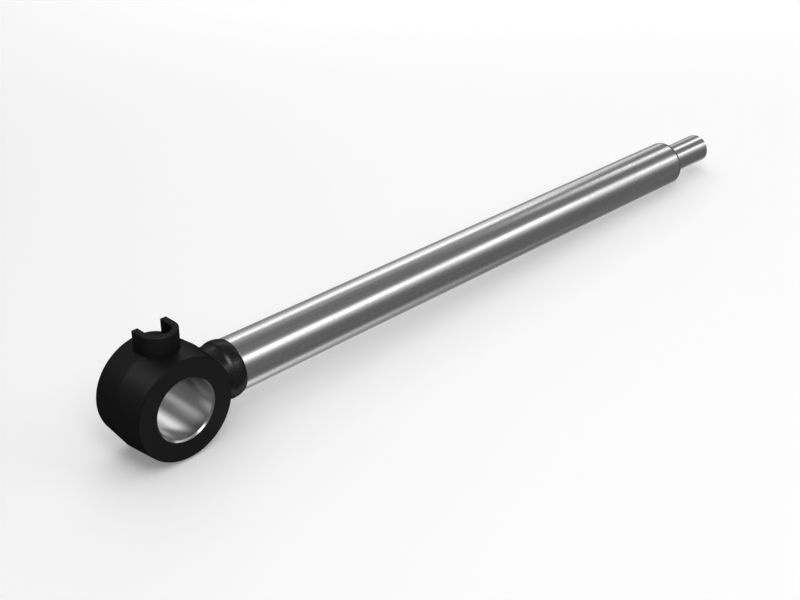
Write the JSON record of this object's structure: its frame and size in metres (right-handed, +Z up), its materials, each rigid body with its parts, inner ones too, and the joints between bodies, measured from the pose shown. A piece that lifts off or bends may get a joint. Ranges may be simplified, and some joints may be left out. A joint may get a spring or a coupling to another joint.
{
  "type": "hydraulic piston rod",
  "caption": "Chromed piston rod with a forged eye welded on, a grease nipple inside a guard on the eye, and a plain spigot for the piston at the far end.",
  "frame": {"origin": "centre of the eye's bore", "axes": "+X along the rod away from the eye, +Y along the eye's bore towards the guard's open side, +Z up towards the guard"},
  "size_m": [0.8371, 0.06, 0.1135],
  "materials": {
    "chrome": "hard chrome over ground steel, polished along its length",
    "black_paint": "satin black paint over forged steel",
    "plated_steel": "zinc plated"
  },
  "bodies": {
    "root": {"piston_rod": "chrome", "rod_eye": "black_paint", "weld_bead": "black_paint", "nipple_guard": "black_paint", "guard_weld_left": "black_paint", "guard_weld_right": "black_paint", "grease_nipple": "plated_steel"}
  },
  "joints": []
}
